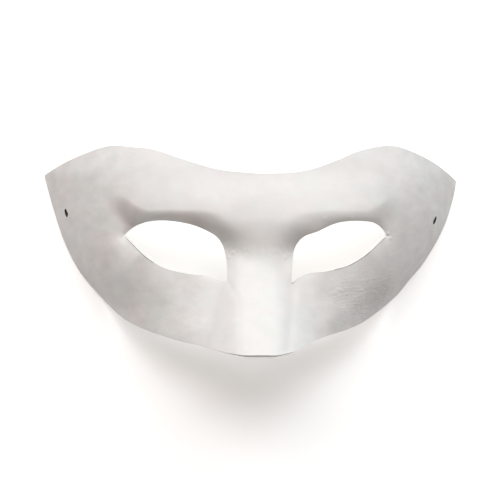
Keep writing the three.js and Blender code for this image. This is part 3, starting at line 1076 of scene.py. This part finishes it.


# %% [markdown]
# The coat isn't the same all over. It is calm on the brow and the nose and coarser on the wings and
# low on the cheeks. The right cheek is wrinkled and has one small crinkled spot. Four places are
# darkened
# with painted shade: the right cheek beyond its fold, under the left brow, and the tips of both wings.

# %% Where the coat changes
# Each pair says where something starts to fade in and where it is at its full. The single numbers
# are the shares that the calm middle, the left cheek and the upper half still get.
COARSER = {"low": (-4, -18), "cheek": (16, 28), "wing": (35, 72), "middle": 0.4}
WRINKLED = {"low": (-4, -20), "below_brow": (24, 8), "cheek": (24, 50), "left": 0.25, "upper": 0.2}
CRINKLED = {"middle": (35.7, -18.6, -6), "radius": 11}
# Painted shade: each patch has its middle, its radius and the tone that it darkens the coat by.
PAINTED_SHADE_PATCHES = [
    {"middle": (55, -24, -22), "radius": 19, "tone": (0.84, 0.82, 0.815)},
    {"middle": (-27, 10, -7), "radius": 8, "tone": (0.86, 0.83, 0.81)},
    {"middle": (88, 33, -44), "radius": 11, "tone": (0.95, 0.95, 0.95)},
    {"middle": (-90, 30, -47), "radius": 10, "tone": (0.94, 0.93, 0.93)},
]


def side_mask(tree, start, end, left=1.0):
    """Fades in from the centre line to both sides."""
    right = place_mask(tree, "X", start, end)
    return combine(tree, "MAXIMUM", right, place_mask(tree, "X", -start, -end, left))


def rough_mask(tree):
    """Where the pulp is coarser: full on the wings and low on the cheeks, calm in the middle."""
    low = place_mask(tree, "Y", *COARSER["low"])
    low_cheek = combine(tree, "MULTIPLY", low, side_mask(tree, *COARSER["cheek"]))
    coarser = combine(tree, "MAXIMUM", side_mask(tree, *COARSER["wing"]), low_cheek)
    return spread(tree, coarser, 0, 1, COARSER["middle"], 1)


def cheek_mask(tree):
    """Where the skin is wrinkled: low on the cheeks, more on the right, a little on its wing."""
    low = spread(tree, place_mask(tree, "Y", *WRINKLED["low"]), 0, 1, WRINKLED["upper"], 1)
    below_brow = place_mask(tree, "Y", *WRINKLED["below_brow"])
    sides = side_mask(tree, *WRINKLED["cheek"], WRINKLED["left"])
    cheeks = combine(tree, "MULTIPLY", sides, low)
    return combine(tree, "MULTIPLY", cheeks, below_brow)


print("greyed places:", len(PAINTED_SHADE_PATCHES))

# %% White coat
# Each pattern has the size of its features along the face's three axes, and how busy it is.
COAT_PINK = (0.845, 0.816, 0.806)
COAT_GREY = (0.826, 0.828, 0.814)
COAT_PATTERNS = {
    "drift": {"sizes": (16, 12, 16), "detail": 3.0, "roughness": 0.6},
    "streaks": {"sizes": (9, 0.9, 9), "detail": 3.0, "roughness": 0.6, "shift": (31, 7, 0)},
    "tooth": {"sizes": (0.6, 0.45, 0.6), "detail": 2.0, "roughness": 0.6},
    "clouds": {"sizes": (7, 5.5, 7), "detail": 3.0, "roughness": 0.55, "shift": (11, 0, 23)},
    "wrinkles": {"sizes": (3.4, 1.2, 3.4), "detail": 2.0, "roughness": 0.6,
                 "turn": math.radians(10)},
    "crinkles": {"sizes": (1.5, 1.5, 1.5), "detail": 2.0, "roughness": 0.6, "shift": (3, 17, 0)},
}
DRIFT_RANGE = (0.38, 0.62)
DARKEST_STREAK = 0.993
DARKEST_CLOUD = 0.89
COAT_ROUGHNESS = (0.62, 0.8)
COAT_SPECULAR = 0.35
COAT_BUMPS = {"streaks": 0.02, "tooth": 0.07, "wrinkles": 0.42, "crinkles": 0.45}


def coat_colour(tree, patterns, coarse):
    """White drifting from pinkish to greenish, streaked, clouded and with patches of painted shade."""
    drift = spread(tree, patterns["drift"], *DRIFT_RANGE)
    colour = blend_colours(tree, drift, COAT_PINK, COAT_GREY)
    streak = spread(tree, patterns["streaks"], *MIDDLE_OF_NOISE, DARKEST_STREAK, 1.0)
    colour = blend_colours(tree, 1.0, colour, streak, "MULTIPLY")
    cloud = spread(tree, patterns["clouds"], *MIDDLE_OF_NOISE, DARKEST_CLOUD, 1.0)
    colour = blend_colours(tree, coarse, colour, cloud, "MULTIPLY")
    # Painted shade: soft darker patches where the shading falls, multiplied into the coat.
    for patch in PAINTED_SHADE_PATCHES:
        near = spot_mask(tree, patch["middle"], patch["radius"])
        colour = blend_colours(tree, near, colour, patch["tone"], "MULTIPLY")
    return colour


def white_coat():
    """Matt white paint over pulp: soft colour drift, faint streaks, wrinkles and a fine tooth."""
    material, tree, shader = new_material("white_coat", COAT_SPECULAR)
    patterns = {name: noise_pattern(tree, **facts) for name, facts in COAT_PATTERNS.items()}
    coarse = rough_mask(tree)
    tree.links.new(coat_colour(tree, patterns, coarse), shader.inputs["Base Color"])
    rough = spread(tree, patterns["clouds"], *MIDDLE_OF_NOISE, *COAT_ROUGHNESS)
    tree.links.new(rough, shader.inputs["Roughness"])
    crinkled = spot_mask(tree, CRINKLED["middle"], CRINKLED["radius"])
    strengths = {"streaks": None, "tooth": coarse, "wrinkles": cheek_mask(tree), "crinkles": crinkled}
    normal = None
    for name, strength in strengths.items():
        normal = bump(tree, patterns[name], COAT_BUMPS[name], strength, under=normal)
    tree.links.new(normal, shader.inputs["Normal"])
    return material


print("patterns in the white coat:", list(COAT_PATTERNS))

# %% [markdown]
# Inside, the pulp is bare: off-white, felted, with longer fibres and no coat. The cut edge shows the
# same pulp where the knife went through, brushed with a little of the white paint. The walls of the tie
# holes get painted shade: they are near black, as dark as the narrow holes are inside. The rounding
# along the lower outer edge of each eye is finished darker. All are one recipe with other colours, so
# one function makes them.

# %% Bare pulp and cut edge
# Each finish of bare pulp has its lightest and its darkest colour, and how deep its fibres are. They
# stand in the order of the material numbers, after the coat.
PULP_FINISHES = {
    "bare_pulp": ((0.80, 0.775, 0.735), (0.70, 0.67, 0.625), 0.1),
    "cut_edge": ((0.86, 0.845, 0.82), (0.78, 0.76, 0.73), 0.06),
    # Painted shade: the walls of the tie holes are near black, for the dark that a narrow hole holds.
    "tie_hole_painted_shade": ((0.11, 0.09, 0.075), (0.05, 0.04, 0.035), 0.06),
    "dark_eye_rim_finish": ((0.52, 0.48, 0.45), (0.36, 0.33, 0.31), 0.06),
    "grey_rim_finish": ((0.66, 0.63, 0.60), (0.50, 0.48, 0.46), 0.06),
    "torn_rim": ((0.93, 0.91, 0.89), (0.86, 0.83, 0.80), 0.06),
}
FELT = {"sizes": (3.0, 3.0, 3.0), "detail": 5.0, "roughness": 0.65}
FIBRES = {"sizes": (0.6, 0.6, 0.6), "detail": 3.0, "roughness": 0.7, "shift": (5, 9, 2)}
FELT_DEPTH = 0.25
PULP_ROUGHNESS = 0.92
PULP_SPECULAR = 0.2


def pulp_finish(name, light, dark, fibre_depth):
    """Felted paper pulp with fibres that lie every way."""
    material, tree, shader = new_material(name, PULP_SPECULAR)
    felt = noise_pattern(tree, **FELT)
    fibres = noise_pattern(tree, **FIBRES)
    colour = blend_colours(tree, spread(tree, felt, *MIDDLE_OF_NOISE), dark, light)
    tree.links.new(colour, shader.inputs["Base Color"])
    shader.inputs["Roughness"].default_value = PULP_ROUGHNESS
    normal = bump(tree, fibres, fibre_depth, under=bump(tree, felt, FELT_DEPTH))
    tree.links.new(normal, shader.inputs["Normal"])
    return material


mesh.materials.append(white_coat())
for name, (light, dark, fibre_depth) in PULP_FINISHES.items():
    mesh.materials.append(pulp_finish(name, light, dark, fibre_depth))
print("materials:", [material.name for material in mesh.materials])

# %% [markdown]
# ## The floor
# A plain pale table, as in a product picture. The mask was photographed on white, and a floor that is
# only lit would come out as grey as the mask does. So it also glows faintly by itself, which leaves it
# nearly white with just a soft shadow.

# %% Floor
FLOOR = {"size": 6.0, "white": (0.93, 0.93, 0.93), "roughness": 0.9, "specular": 0.1, "glow": 0.25}
GLOW_COLOUR = (1, 1, 1)


def add_floor():
    """A large plain plane that the mask lies on."""
    plane = bmesh.new()
    bmesh.ops.create_grid(plane, x_segments=1, y_segments=1, size=FLOOR["size"] / 2)
    data = bpy.data.meshes.new("floor")
    plane.to_mesh(data)
    plane.free()
    floor = bpy.data.objects.new("floor", data)
    bpy.context.scene.collection.objects.link(floor)
    material, tree, shader = new_material("floor_white", FLOOR["specular"])
    shader.inputs["Base Color"].default_value = (*FLOOR["white"], 1)
    shader.inputs["Roughness"].default_value = FLOOR["roughness"]
    shader.inputs["Emission Color"].default_value = (*GLOW_COLOUR, 1)
    shader.inputs["Emission Strength"].default_value = FLOOR["glow"]
    data.materials.append(material)
    return floor


floor = add_floor()
print("floor, m:", tuple(floor.dimensions))

# %% [markdown]
# ## The lights
# The photograph's shading is soft and comes from above the forehead: the brow is bright and the skin
# under it is dark. Large area lights give shadows without hard edges. Two stand above the forehead,
# one high and one low, one stands on each side of them, and a weak warm one in front lights the nose.
# The world's even light stands for the room, and is kept low so that it doesn't wash the sockets out.

# %% Lights
# Each has its direction from the face in the face's frame, its distance and size in metres, its power
# in watts and its colour.
LIGHTS = {
    "front": {"towards": (0, 0.05, 1), "away": 1.4, "size": 0.9, "power": 2.8,
              "colour": (1, 0.73, 0.61)},
    "above": {"towards": (0, 0.6, 0.8), "away": 1.5, "size": 0.9, "power": 9.9,
              "colour": (1, 1, 0.99)},
    "top": {"towards": (0, 1, 0.15), "away": 1.3, "size": 0.8, "power": 5.6,
            "colour": (0.91, 0.98, 1)},
    "upper_left": {"towards": (-0.5, 0.7, 0.6), "away": 1.5, "size": 0.9, "power": 7.2,
                   "colour": (1, 0.95, 0.93)},
    "upper_right": {"towards": (0.5, 0.7, 0.6), "away": 1.5, "size": 0.9, "power": 7.1,
                    "colour": (0.88, 0.97, 1)},
}


def add_light(name, facts):
    """A square soft light that looks at the middle of the face."""
    data = bpy.data.lights.new(name, "AREA")
    data.shape = "SQUARE"
    data.size = facts["size"]
    data.energy = facts["power"]
    data.color = facts["colour"]
    light = bpy.data.objects.new(name, data)
    back = (lie.to_3x3() @ Vector(facts["towards"])).normalized()
    turn = back.to_track_quat("Z", "Y").to_matrix().to_4x4()
    light.matrix_world = Matrix.Translation(FACE_ZERO * MM + back * facts["away"]) @ turn
    light.visible_camera = False
    bpy.context.scene.collection.objects.link(light)
    return light


for name, facts in LIGHTS.items():
    add_light(name, facts)
print("lights:", list(LIGHTS))

# %% The room's even light
WORLD_COLOUR = (1.0, 1.0, 1.0)
WORLD_STRENGTH = 0.03

world = bpy.data.worlds.new("world")
world.use_nodes = True
background = world.node_tree.nodes["Background"]
background.inputs["Color"].default_value = (*WORLD_COLOUR, 1)
background.inputs["Strength"].default_value = WORLD_STRENGTH
bpy.context.scene.world = world
bpy.context.scene.view_settings.view_transform = "Standard"
print("strength of the room's light:", WORLD_STRENGTH)
